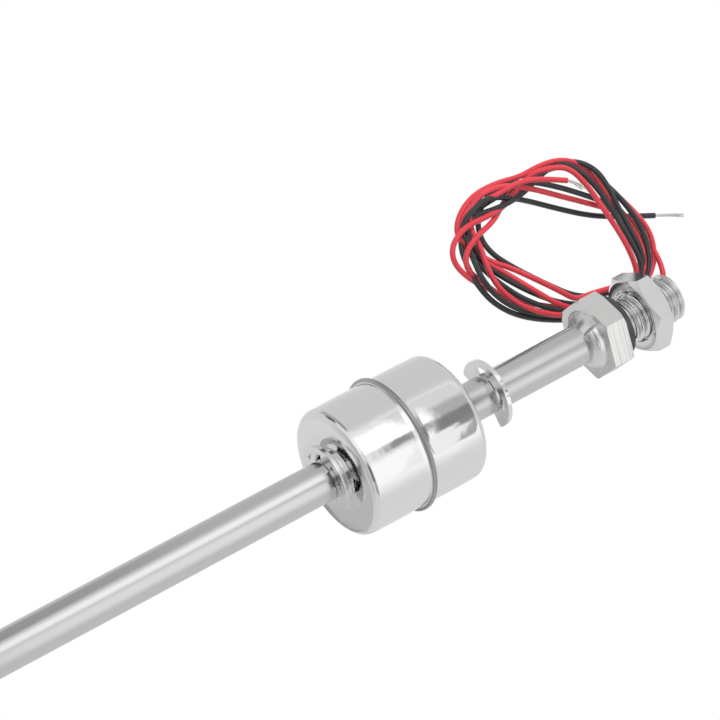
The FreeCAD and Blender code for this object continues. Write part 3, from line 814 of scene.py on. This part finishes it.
def strand_bundle(name, wire_end, length, fray, turns, droop):
    """Seven thin strands that go on from the end of a wire and droop a little."""
    start_fresh()
    tip = Vector(wire_end[-1])
    along = (tip - Vector(wire_end[-2])).normalized()
    side = along.cross(Vector((0, 1, 0))).normalized()
    over = along.cross(side)
    curve = bpy.data.curves.new(name, "CURVE")
    curve.dimensions = "3D"
    curve.bevel_depth = STRAND_D / 2 * MM
    curve.bevel_resolution = 2
    curve.use_fill_caps = True
    curve.resolution_u = 4
    for k in range(7):
        start_angle = k * math.tau / 6
        lay_r = 0.0 if k == 6 else 0.22
        end_share = 1.0 - 0.12 * ((k * 5) % 7) / 7
        spline = curve.splines.new("NURBS")
        spline.points.add(11)
        for n, point in enumerate(spline.points):
            share = n / 11 * end_share
            spread = lay_r + fray * share ** 1.6 * (0.35 + 0.65 * ((k * 3) % 7) / 6)
            angle = start_angle + share * turns * math.tau
            place = tip + along * (length * share - 0.3) + (side * math.cos(angle) + over * math.sin(angle)) * spread
            place += Vector(droop) * share ** 1.7
            point.co = (*(place * MM), 1.0)
        spline.order_u = 3
        spline.use_endpoint_u = True
    bundle = bpy.data.objects.new(name, curve)
    bpy.context.scene.collection.objects.link(bundle)
    bundle.select_set(True)
    bpy.context.view_layer.objects.active = bundle
    bpy.ops.object.convert(target="MESH")
    bundle = bpy.context.object
    bundle.name = bundle.data.name = name
    return smoothed(bundle, 60)


red_tips = strand_bundle("red_tips", RED_END, 4.0, 0.45, 0.35, (1.1, 0.0, -0.6))
black_tips = strand_bundle("black_tips", BLACK_END, 6.9, 0.16, 1.1, (0.15, 0.0, -0.1))
print("strands", [len(tips.data.vertices) for tips in (red_tips, black_tips)], "points")

# %% [markdown]
# ## Finishes
#
# A finish is a small tree of shader nodes. To write its maths as sums and products, one
# class stands for a socket of the material, and each operation adds a Math node.

# %% Shader sums
class Tone:
    """A socket of a material; sums and products of tones add Math nodes."""

    def __init__(self, material, socket=None):
        self.material = material
        self.socket = socket

    def node(self, kind, settings, inputs, output=0):
        """Adds a node, with its settings first, and gives one of its outputs."""
        made = self.material.node_tree.nodes.new("ShaderNode" + kind)
        for setting, value in settings.items():
            if setting == "stops":
                ramp = made.color_ramp.elements
                while len(ramp) < len(value):
                    ramp.new(0.5)
                for element, (place, colour) in zip(ramp, value):
                    element.position = place
                    element.color = (*colour, 1)
            else:
                setattr(made, setting, value)
        for place, value in inputs.items():
            if isinstance(value, Tone):
                self.material.node_tree.links.new(value.socket, made.inputs[place])
            else:
                made.inputs[place].default_value = value
        return Tone(self.material, made.outputs[output])

    def sum(self, operation, a, b=0.0, clamp=False):
        return self.node("Math", {"operation": operation, "use_clamp": clamp}, {0: a, 1: b})

    def __add__(self, other):
        return self.sum("ADD", self, other)

    __radd__ = __add__

    def __sub__(self, other):
        return self.sum("SUBTRACT", self, other)

    def __rsub__(self, other):
        return self.sum("SUBTRACT", other, self)

    def __mul__(self, other):
        return self.sum("MULTIPLY", self, other)

    __rmul__ = __mul__


def finish(name, colour, roughness, metallic=0.0, **constants):
    """New material and its shader, whose fixed values are set on the sockets."""
    material = bpy.data.materials.new(name)
    material.use_nodes = True
    shader = material.node_tree.nodes["Principled BSDF"]
    shader.inputs["Base Color"].default_value = (*colour, 1)
    shader.inputs["Roughness"].default_value = roughness
    shader.inputs["Metallic"].default_value = metallic
    for socket, value in constants.items():
        shader.inputs[socket.replace("_", " ")].default_value = value
    return Tone(material), shader


def feed(tone, shader, socket):
    tone.material.node_tree.links.new(tone.socket, shader.inputs[socket])


def place_of(start):
    return start.node("TexCoord", {}, {}, "Object")


def blotches(start, place, scale, detail=2.0, stretch=(1, 1, 1)):
    """Soft noise from 0 to 1; stretch is the pattern's density along each axis."""
    scaled = start.node("Mapping", {}, {"Vector": place, "Scale": tuple(s * scale for s in stretch)})
    return start.node("TexNoise", {}, {"Vector": scaled, "Scale": 1.0, "Detail": detail, "Roughness": 0.55})


def axes(start, place):
    """The three coordinates of a place."""
    return [start.node("SeparateXYZ", {}, {0: place}, axis) for axis in "XYZ"]


def lathe_lines(start, place, scale, across=1.0):
    """Fine rings that a lathe or a polishing wheel leaves, on walls and, by across, on flat ends."""
    x, y, z = axes(start, place)
    radius = start.sum("SQRT", x * x + y * y)
    rings = start.node("CombineXYZ", {}, {0: radius * (scale * across), 1: z * scale, 2: x * (scale * 0.012)})
    return start.node("TexNoise", {}, {"Vector": rings, "Scale": 1.0, "Detail": 3.0, "Roughness": 0.6})


def bumped(start, shader, height, distance):
    """Turns a height from 0 to 1 into a bump of that many metres."""
    bump = start.node("Bump", {}, {"Height": height, "Strength": 1.0, "Distance": distance}, "Normal")
    feed(bump, shader, "Normal")


# %% [markdown]
# Steel is the whole look of this switch. Each part gets the finish of its own making:
# the drawn stem is satin with faint lengthwise streaks, the float is polished on a wheel,
# and the head and nut keep fine tool lines. Colour stays almost the same everywhere, apart
# from painted shade in the thread's roots, and the roughness and a shallow bump do the work.

# %% Dark places
ROOT_SHADE = 0.6
CUTTER_SCALE = 2300
CUTTER_DRIFT = 22


def thread_root_shade(start, place):
    """How dark a place of the thread is: painted shade, darkest in the roots."""
    x, y = axes(start, place)[:2]
    depth = THREAD_R * MM - start.sum("SQRT", x * x + y * y)
    share = start.sum("MULTIPLY", depth, 1 / ((THREAD_R - ROOT_R) * MM), clamp=True)
    return share * share * ROOT_SHADE


def cutter_lines(start, place):
    """Dark lines at constant height on one flat of the hexagon, cut by a coarser tool."""
    x, y, z = axes(start, place)
    facing = math.radians(HEX_ANGLE - 90)
    on_flat = start.sum("GREATER_THAN", x * math.cos(facing) + y * math.sin(facing), (HEX_FLATS / 2 - 0.15) * MM)
    grain = start.node("CombineXYZ", {}, {0: z * CUTTER_SCALE, 1: x * CUTTER_DRIFT, 2: y * CUTTER_DRIFT})
    lines = start.node("TexNoise", {}, {"Vector": grain, "Scale": 1.0, "Detail": 3.0, "Roughness": 0.6})
    return on_flat * start.sum("MULTIPLY", lines - 0.5, 4.0, clamp=True)


# %% [markdown]
# The same few layers make every steel. After its colour come the roughness and its
# spread, the density and the depth of the tool lines, the depth and the density of the
# slow wave, and how much darker the dirtiest places are.

# %% Steel
def steel(name, colour, roughness, spread, lines, line_depth, wave, wave_scale, grime,
          lengthwise=False, across=1.0, shade=None):
    """Polished or satin steel with tool lines, uneven gloss, a slow wave and perhaps painted shade or darker tool
    marks.
    """
    start, shader = finish(name, colour, roughness, 1.0)
    place = place_of(start)
    if lengthwise:
        fine = blotches(start, place, lines, 3.0, (1, 1, 0.02))
    else:
        fine = lathe_lines(start, place, lines, across)
    uneven = blotches(start, place, 320, 3.0)
    feed(roughness + spread * (fine - 0.5) + spread * (uneven - 0.5), shader, "Roughness")
    tint = start.node("Mix", {"data_type": "RGBA"}, {
        0: start.sum("MULTIPLY", fine + uneven, 0.5), 6: (*(c * (1 - grime) for c in colour), 1), 7: (*colour, 1),
    }, 2)
    # The function given as shade darkens the colour: painted shade in the thread's roots, or the tool lines on one
    # flat of the hexagon.
    if shade:
        dark = (*(c * 0.35 for c in colour), 1)
        tint = start.node("Mix", {"data_type": "RGBA"}, {0: shade(start, place), 6: tint, 7: dark}, 2)
    feed(tint, shader, "Base Color")
    slow = blotches(start, place, wave_scale, 1.0)
    bumped(start, shader, fine * line_depth + slow * wave, 1.0)
    return start.material


stem_steel = steel("stem_steel", (0.62, 0.62, 0.625), 0.22, 0.08, 3500, 0.5e-6, 12e-6, 300, 0.10, lengthwise=True)
float_steel = steel("float_steel", (0.80, 0.80, 0.805), 0.09, 0.08, 1900, 1.8e-6, 40e-6, 380, 0.07)
seam_steel = steel("seam_steel", (0.47, 0.465, 0.46), 0.24, 0.12, 1200, 0.5e-6, 6e-6, 420, 0.25)
head_steel = steel("head_steel", (0.80, 0.80, 0.79), 0.24, 0.10, 1300, 1.2e-6, 6e-6, 300, 0.12,
                   across=0.06, shade=cutter_lines)
weld_steel = steel("weld_steel", (0.78, 0.775, 0.77), 0.26, 0.12, 300, 0.6e-6, 14e-6, 500, 0.2)
nut_steel = steel("nut_steel", (0.80, 0.79, 0.80), 0.15, 0.08, 1200, 0.6e-6, 10e-6, 350, 0.10, across=0.06)
# The thread's colour is darkened in its roots: painted shade.
thread_steel = steel("thread_steel", (0.84, 0.835, 0.83), 0.14, 0.10, 1800, 0.5e-6, 2e-6, 300, 0.15,
                     shade=thread_root_shade)
clip_steel = steel("clip_steel", (0.84, 0.84, 0.84), 0.18, 0.10, 900, 0.5e-6, 6e-6, 400, 0.12)
float_bore_steel = steel("float_bore_steel", (0.8, 0.8, 0.8), 0.1, 0.08, 1500, 0.4e-6, 3e-6, 300, 0.08)
print("head steel has", len(head_steel.node_tree.nodes), "nodes")

# %% [markdown]
# The wires are soft PVC, coloured right through, with a gentle shine. The seal is matt
# black rubber with a trace of dust, and the strands are tinned copper.

# %% Rubber, PVC and copper
def soft_plastic(name, colour, worn, roughness, grain, depth):
    """Coloured plastic or rubber with a faint grain and slightly paler handled places."""
    start, shader = finish(name, colour, roughness)
    place = place_of(start)
    handled = blotches(start, place, 260, 3.0)
    paler = start.node("ValToRGB", {"stops": [(0.35, colour), (0.75, worn)]}, {"Fac": handled})
    feed(paler, shader, "Base Color")
    feed(roughness - 0.05 + 0.12 * handled, shader, "Roughness")
    bumped(start, shader, blotches(start, place, grain, 2.0), depth)
    return start.material


red_pvc = soft_plastic("red_pvc", (0.60, 0.032, 0.05), (0.66, 0.045, 0.065), 0.30, 1800, 3e-6)
black_pvc = soft_plastic("black_pvc", (0.018, 0.018, 0.021), (0.03, 0.03, 0.034), 0.33, 1800, 3e-6)
seal_rubber = soft_plastic("seal_rubber", (0.035, 0.035, 0.037), (0.07, 0.07, 0.07), 0.62, 3200, 12e-6)
tinned_copper = steel("tinned_copper", (0.78, 0.77, 0.75), 0.22, 0.1, 1500, 0.5e-6, 1e-6, 400, 0.15)

# %% [markdown]
# Inside the stem and the float nothing shows, but every piece still has its own finish,
# so that the switch can be taken apart or cut open.

# %% Hidden pieces
ferrite = soft_plastic("ferrite", (0.06, 0.06, 0.065), (0.1, 0.1, 0.105), 0.45, 5200, 10e-6)
spacer_nylon = soft_plastic("spacer_nylon", (0.72, 0.70, 0.62), (0.8, 0.78, 0.72), 0.5, 2500, 5e-6)
sleeve_black = soft_plastic("sleeve_black", (0.03, 0.03, 0.03), (0.05, 0.05, 0.05), 0.5, 2500, 8e-6)
potting_resin = soft_plastic("potting_resin", (0.025, 0.025, 0.027), (0.05, 0.05, 0.05), 0.22, 900, 25e-6)
reed_metal = steel("reed_metal", (0.72, 0.69, 0.58), 0.25, 0.1, 2500, 0.4e-6, 1e-6, 400, 0.1)
solder = steel("solder", (0.7, 0.7, 0.7), 0.3, 0.15, 900, 1e-6, 8e-6, 900, 0.15)
glass_start, glass_shader = finish("reed_glass_clear", (0.80, 0.92, 0.84), 0.05, Transmission_Weight=1.0, IOR=1.5)
feed(0.03 + 0.06 * blotches(glass_start, place_of(glass_start), 600), glass_shader, "Roughness")
reed_glass_clear = glass_start.material

HIDDEN = {
    "magnet_ring": ferrite,
    "magnet_upper_spacer": spacer_nylon,
    "magnet_lower_spacer": spacer_nylon,
    "reed_glass": reed_glass_clear,
    "reed_upper_lead": reed_metal,
    "reed_lower_lead": reed_metal,
    "reed_sleeve": sleeve_black,
    "red_solder_joint": solder,
    "black_solder_joint": solder,
    "red_inner_wire": red_pvc,
    "black_inner_wire": black_pvc,
    "potting_plug": potting_resin,
}
for name, material in HIDDEN.items():
    nodes[name].data.materials.clear()
    nodes[name].data.materials.append(material)
print("hidden pieces", len(HIDDEN))

# %% [markdown]
# ## Joining the pieces to the switch
#
# Each piece moves with one body of the switch and stands in for the solid it remakes, which
# is hidden. It gets its finish here; the material slot named in its row is not used.

# %% Pieces and bodies
PIECES = [
    (stem, "stem_assembly", "stem_tube", "stem_steel", stem_steel),
    (stem_plug, "stem_assembly", "stem_end_plug", "stem_steel", stem_steel),
    (hexagon, "stem_assembly", "threaded_head", "head_steel", head_steel),
    (nipple, "stem_assembly", "threaded_head", "head_steel", thread_steel),
    (weld, "stem_assembly", "weld_bead", "weld_steel", weld_steel),
    (seal, "stem_assembly", "sealing_washer", "washer_rubber", seal_rubber),
    (nut, "nut", "lock_nut", "nut_steel", nut_steel),
    (clip_upper, "stem_assembly", "upper_stop_clip", "clip_steel", clip_steel),
    (clip_lower, "stem_assembly", "lower_stop_clip", "clip_steel", clip_steel),
    (float_cup_upper, "float_shell", "float_upper_shell", "float_steel", float_steel),
    (float_cup_lower, "float_shell", "float_lower_shell", "float_steel", float_steel),
    (float_bore, "float_shell", "float_inner_tube", "float_steel", float_bore_steel),
    (red_tips, "stem_assembly", "red_strands", "tinned_copper", tinned_copper),
    (black_tips, "stem_assembly", "black_strands", "tinned_copper", tinned_copper),
    (red_wire, "stem_assembly", "red_wire_lead", "red_insulation", red_pvc),
    (black_wire, "stem_assembly", "black_wire_lead", "black_insulation", black_pvc),
]
for piece, body, node, slot, material in PIECES:
    piece.data.materials.clear()
    piece.data.materials.append(material)
    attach(piece, body)
    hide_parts(node)
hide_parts("red_wire_end", "wire_coil")
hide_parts("black_wire_end", "wire_coil")

# The hexagon and stem of the real switch mirror no red, so the red wire is kept out of
# the mirrored rays.
red_wire.visible_glossy = False

for cup_piece in (float_cup_upper, float_cup_lower):
    cup_piece.data.materials.append(seam_steel)
    for face in cup_piece.data.polygons:
        out = math.hypot(face.center.x, face.center.y) / MM
        if out > FLOAT_R + 0.1 and abs(face.center.z / MM - FLOAT_MIDDLE) < SEAM_HALF + 0.02:
            face.material_index = 1
print("pieces", len(PIECES), "seam faces", sum(face.material_index for face in float_cup_upper.data.polygons))

# %% [markdown]
# The wires are soft. Here the length of each one is measured along its centre line.

# %% Wire lengths
for wire, line, start, tips in (
    (red_wire, red_line, RED_EXIT[0], red_tips),
    (black_wire, black_line, BLACK_EXIT[0], black_tips),
):
    line_length(line)

# %% [markdown]
# ## Studio
#
# Polished steel looks like what stands around it, so the surroundings are part of the
# finish. As in a product studio, the switch hangs in a light tent in front of plain
# white. The world gives the white and a plain, even light. The tent gives the mirrored
# light and dark, and nothing but mirror-like surfaces sees it.

# %% World
DAYLIGHT = 0.45
world = bpy.data.worlds.new("studio")
bpy.context.scene.world = world
world.use_nodes = True
world_tree = world.node_tree
background = world_tree.nodes["Background"]
rays = world_tree.nodes.new("ShaderNodeLightPath")


def seen_white(tree, strength_socket, plain, rays):
    """White to the camera, to mirrors and through glass, and plain light to all else."""
    either = rays.outputs["Is Camera Ray"]
    for name in ("Is Glossy Ray", "Is Transmission Ray"):
        largest = tree.nodes.new("ShaderNodeMath")
        largest.operation = "MAXIMUM"
        tree.links.new(either, largest.inputs[0])
        tree.links.new(rays.outputs[name], largest.inputs[1])
        either = largest.outputs[0]
    level = tree.nodes.new("ShaderNodeMath")
    level.operation = "MULTIPLY_ADD"
    tree.links.new(either, level.inputs[0])
    level.inputs[1].default_value = 1.0 - plain
    level.inputs[2].default_value = plain
    tree.links.new(level.outputs[0], strength_socket)


background.inputs["Color"].default_value = (1, 1, 1, 1)
seen_white(world_tree, background.inputs["Strength"], DAYLIGHT, rays)
bpy.context.scene.view_settings.view_transform = "Standard"

# %% [markdown]
# The tent is a sphere of white cloth round the switch, lit unevenly from outside. Each
# patch is a window of one brightness with soft edges, painted over the ones before it.
# Directions are degrees round from the front, positive to the right, and degrees up.

# %% Light tent
TENT_R = 0.3
TENT_MIDDLE = -0.06
TENT_LEVEL = 0.78
PATCHES = [
    ("ground", -220, 220, -95, -50, 0.70, 10, 10, 10),
    ("front ground", -90, 90, -95, -50, 0.58, 20, 20, 10),
    ("left wall", -135, -52, 16, 70, 0.73, 16, 10, 8),
    ("left back wall", -178, -157, 0, 60, 0.96, 3, 12, 8),
    ("left skirting", -120, -55, -10, 14, 0.50, 10, 10, 6),
    ("left doorway", -107, -83, -30, -8, 0.15, 8, 8, 8),
    ("left doorway arm", -80, -55, -12, 2, 0.30, 8, 8, 6),
    ("left floor light", -80, -55, -42, -18, 0.90, 10, 10, 8),
    ("left window", -48, -4, -48, 36, 1.10, 30, 10, 10),
    ("left window core", -36, -7, -5, 34, 1.50, 14, 8, 12),
    ("front", -3, 11, -5, 22, 1.00, 5, 5, 4),
    ("right wall", 72, 128, -10, 70, 0.82, 10, 14, 8),
    ("right window", 10, 60, 0, 46, 1.22, 10, 40, 10),
    ("front streak", -6, 5, 23.5, 30.5, 0.33, 4, 4, 2),
    ("front upper streak", -3, 14, 30.5, 37, 0.70, 5, 5, 3),
    ("front top", -3, 28, 34.5, 70, 0.72, 5, 16, 3),
    ("right back wall", 152, 179, 2, 22, 0.66, 10, 3, 4),
    ("right back top", 146, 179, 31, 60, 0.66, 10, 3, 4),
    ("right cabinet", 8, 42, -38, -6, 0.22, 10, 10, 10),
    ("right cabinet side", 42, 60, -30, -14, 0.47, 8, 8, 8),
    ("right cabinet top", 42, 62, -14, -2, 0.35, 8, 8, 6),
    ("front low", -14, 2, -20, -5, 0.68, 6, 6, 8),
    ("front floor light", -14, 2, -36, -21, 1.02, 6, 6, 8),
    ("front floor", -14, 2, -55, -38, 0.69, 6, 6, 8),
    ("back right floor", 150, 178.5, -60, -5, 0.60, 4, 4, 10),
    ("back right corner", 164, 178, -60, -23, 0.57, 3, 3, 3),
    ("back right door", 164, 178, -23, -8, 0.34, 4, 2, 3),
    ("back left floor", -180, -165, -60, -5, 0.82, 4, 4, 10),
]


def soft_step(distance, soft):
    """From 0 to 1 over a soft edge of that width."""
    share = min(max(distance / soft + 0.5, 0.0), 1.0)
    return share * share * (3 - 2 * share)


def painted_level(level, patches, across, up):
    """Level at one place after all patches, each painted over the ones before it."""
    for _, left, right, low, high, patch, soft_left, soft_right, soft_up in patches:
        if not low - soft_up < up < high + soft_up:
            continue
        middle = (left + right) / 2
        offset = (across - middle + 180) % 360 - 180
        half = (right - left) / 2
        cover = soft_step(offset + half, soft_left) * soft_step(half - offset, soft_right)
        level += (patch - level) * cover * soft_step(up - low, soft_up) * soft_step(high - up, soft_up)
    return level


def only_in_mirrors(sheet, level_of):
    """Lets a sheet glow at a painted level that only mirror-like surfaces see."""
    painted = sheet.data.color_attributes.new("level", "FLOAT_COLOR", "POINT")
    for v, spot in zip(sheet.data.vertices, painted.data):
        level = level_of(v.co)
        spot.color = (level, level, level, 1)
    start, shader = finish(sheet.name + "_cloth", (0, 0, 0), 1.0, Specular_IOR_Level=0.0, Emission_Strength=1.0)
    feed(start.node("Attribute", {"attribute_name": "level"}, {}), shader, "Emission Color")
    sheet.data.materials.append(start.material)
    sheet.visible_camera = False
    sheet.visible_diffuse = False
    sheet.visible_shadow = False
    sheet.visible_transmission = False


def level_towards(point):
    azimuth = math.degrees(math.atan2(point.x, -point.y))
    height = math.degrees(math.asin(max(-1.0, min(1.0, (point.z - TENT_MIDDLE) / TENT_R))))
    return painted_level(TENT_LEVEL, PATCHES, azimuth, height)


start_fresh()
bpy.ops.mesh.primitive_uv_sphere_add(segments=270, ring_count=135, radius=TENT_R, location=(0, 0, TENT_MIDDLE))
tent = added("tent")
only_in_mirrors(tent, level_towards)
print("tent points", len(tent.data.vertices), "front level", round(painted_level(TENT_LEVEL, PATCHES, 0, 27), 2))

# %% [markdown]
# A distant wall can't tell the two halves of the float apart, because they face the same
# way. A small flag that hangs close in front can: at this height only the upper half
# mirrors it, and that half is darker in the middle than the lower one.

# %% Flag
FLAG_Y = -50.0
UPPER_FLAG = [
    ("left", -52, -18, -31, -9, 0.84, 8, 10, 4),
    ("middle", -20, 2, -31, -9, 0.52, 10, 5, 3),
    ("dark", -3, 13, -33, -9, 0.27, 5, 4, 2.5),
    ("dark upper", 10, 20, -24, -9, 0.30, 5, 4, 3),
    ("right upper", 19, 48, -18, -6, 0.46, 5, 8, 4),
]
FLAG_LEFT, FLAG_RIGHT, FLAG_LOW, FLAG_HIGH = -54.0, 50.0, -33.5, -8.0
FLAG_LEVEL = 1.08
start_fresh()
bpy.ops.mesh.primitive_grid_add(
    x_subdivisions=104,
    y_subdivisions=26,
    size=1,
    location=((FLAG_LEFT + FLAG_RIGHT) / 2 * MM, FLAG_Y * MM, (FLAG_LOW + FLAG_HIGH) / 2 * MM),
    rotation=(math.pi / 2, 0, 0),
)
upper_flag = added("upper_flag", ((FLAG_RIGHT - FLAG_LEFT) * MM, (FLAG_HIGH - FLAG_LOW) * MM, 1))
only_in_mirrors(upper_flag, lambda point: painted_level(FLAG_LEVEL, UPPER_FLAG, point.x / MM, point.z / MM))
print("flag", [round(c / MM, 1) for c in upper_flag.dimensions])

# %% [markdown]
# Mirrors need no lamp, but rubber and insulation do. Three large soft lamps light them,
# the strongest from the upper left, and the steel doesn't mirror any of the three. The
# floor lies far below, so that no shadow of the switch falls near it.

# %% Lamps and floor
LAMP_AIM = (0, 0, -0.05)


def lamp(name, place, size, power):
    """Square area lamp, aimed at the float, that no mirror shows."""
    data = bpy.data.lights.new(name, "AREA")
    data.shape = "SQUARE"
    data.size = size
    data.energy = power
    made = bpy.data.objects.new(name, data)
    made.location = place
    made.rotation_euler = (Vector(LAMP_AIM) - Vector(place)).to_track_quat("-Z", "Y").to_euler()
    bpy.context.scene.collection.objects.link(made)
    made.visible_glossy = False


lamp("key_lamp", (-0.8, -0.9, 0.7), 0.6, 18)
lamp("fill_lamp", (0.9, -0.9, -0.2), 0.9, 2)
lamp("back_lamp", (0.5, 1.1, 0.4), 0.9, 12)

FLOOR_HEIGHT = -0.9
FLOOR_SIZE = 24.0
start_fresh()
bpy.ops.mesh.primitive_plane_add(size=FLOOR_SIZE, location=(0, 0, FLOOR_HEIGHT))
floor = bpy.context.object
floor.name = floor.data.name = "floor"
floor_paint = bpy.data.materials.new("floor_paint")
floor_paint.use_nodes = True
floor_shader = floor_paint.node_tree.nodes["Principled BSDF"]
floor_shader.inputs["Base Color"].default_value = (0.85, 0.85, 0.85, 1)
floor_shader.inputs["Roughness"].default_value = 0.7
floor_shader.inputs["Emission Color"].default_value = (1, 1, 1, 1)
floor_shader.inputs["Emission Strength"].default_value = 0.25
floor.data.materials.append(floor_paint)
